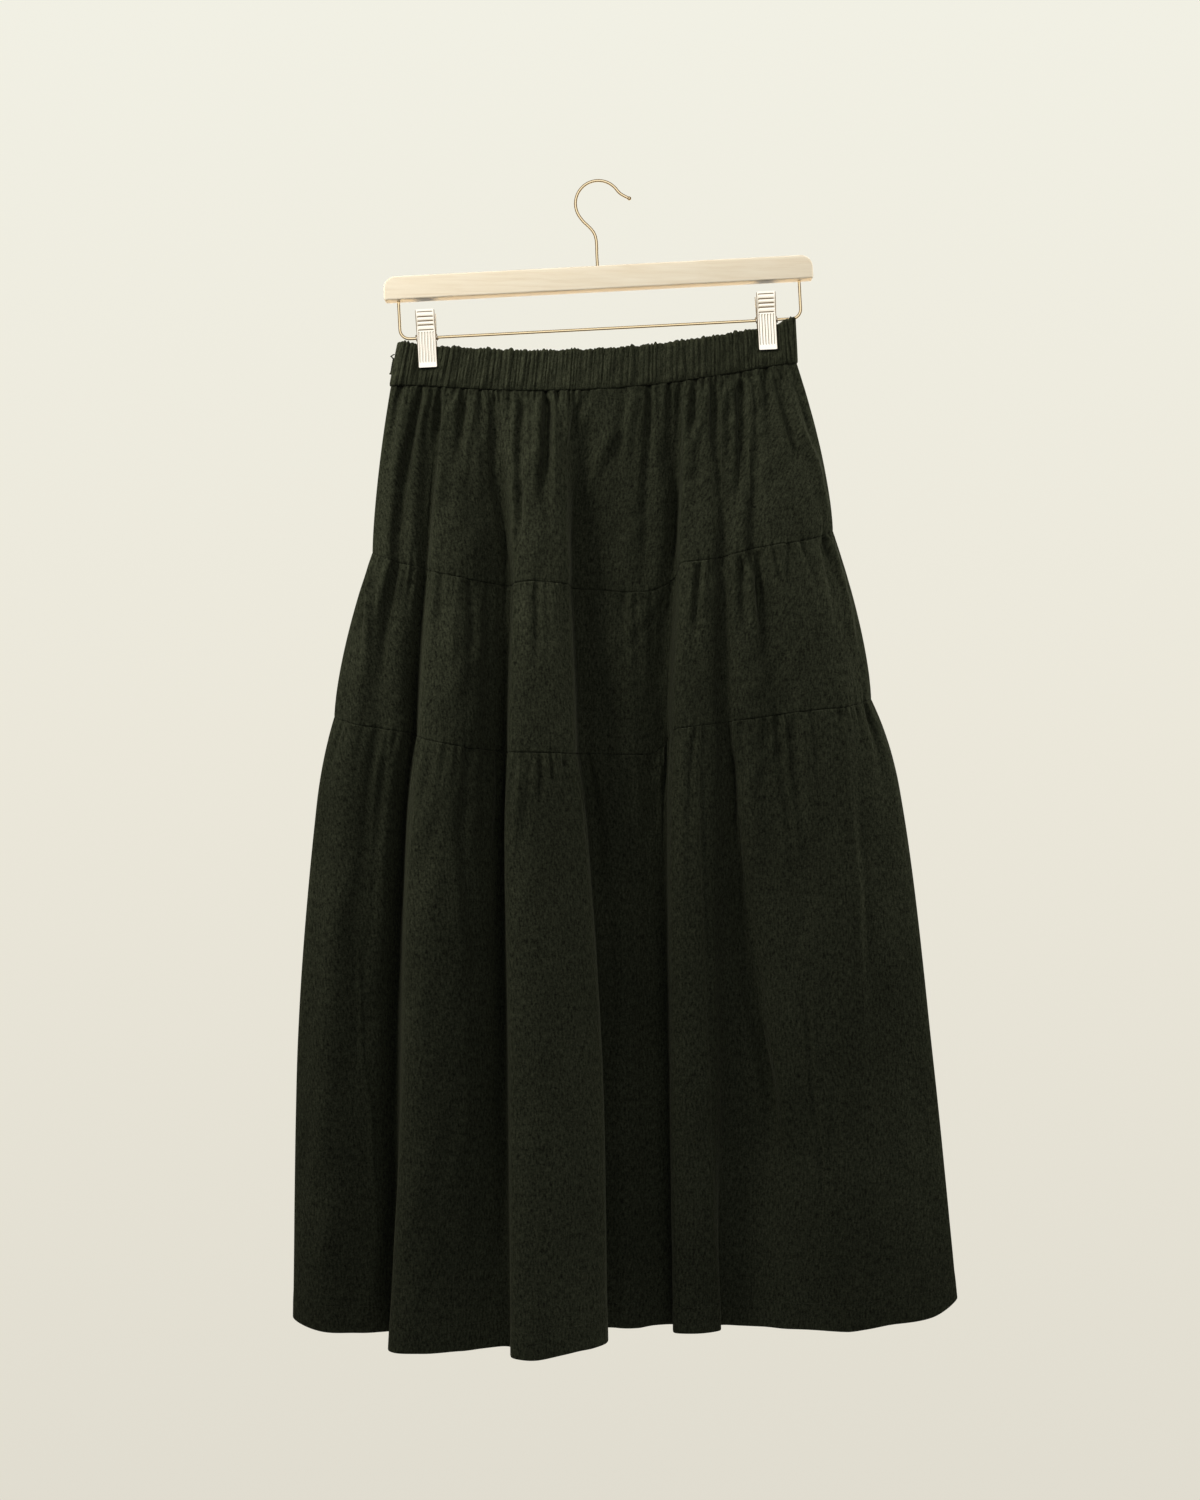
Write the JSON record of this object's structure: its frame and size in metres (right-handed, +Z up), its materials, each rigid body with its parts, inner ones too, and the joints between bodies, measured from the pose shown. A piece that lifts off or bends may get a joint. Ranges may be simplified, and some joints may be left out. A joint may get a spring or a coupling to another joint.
{
  "type": "gathered midi skirt on a clip hanger",
  "caption": "Gathered, tiered midi skirt with an elasticated waistband, hanging flat from the two clips of a wooden bar hanger with a wire hook.",
  "frame": {"origin": "the inside of the top of the hanger's hook, where it hangs on a rod or peg", "axes": "+Z up; -Y out of the skirt's front; +X to the right seen from the front"},
  "size_m": [0.5592, 0.1064, 0.9695],
  "materials": {
    "cloth": "matt black cotton with a warm olive cast",
    "thread": "black cotton thread",
    "wood": "pale, lightly varnished",
    "steel": "bright plated steel"
  },
  "bodies": {
    "root": {"waistband_front": "cloth", "waistband_back": "cloth", "tier1_front": "cloth", "tier1_back": "cloth", "tier2_front": "cloth", "tier2_back": "cloth", "tier3_front": "cloth", "tier3_back": "cloth", "side_loop": "thread", "hanger_bar": "wood", "hanger_hook": "steel", "hook_tip": "steel", "clip_rail": "steel", "clip_left_front": "steel", "clip_left_back": "steel", "clip_left_spring": "steel", "clip_right_front": "steel", "clip_right_back": "steel", "clip_right_spring": "steel"}
  },
  "joints": []
}
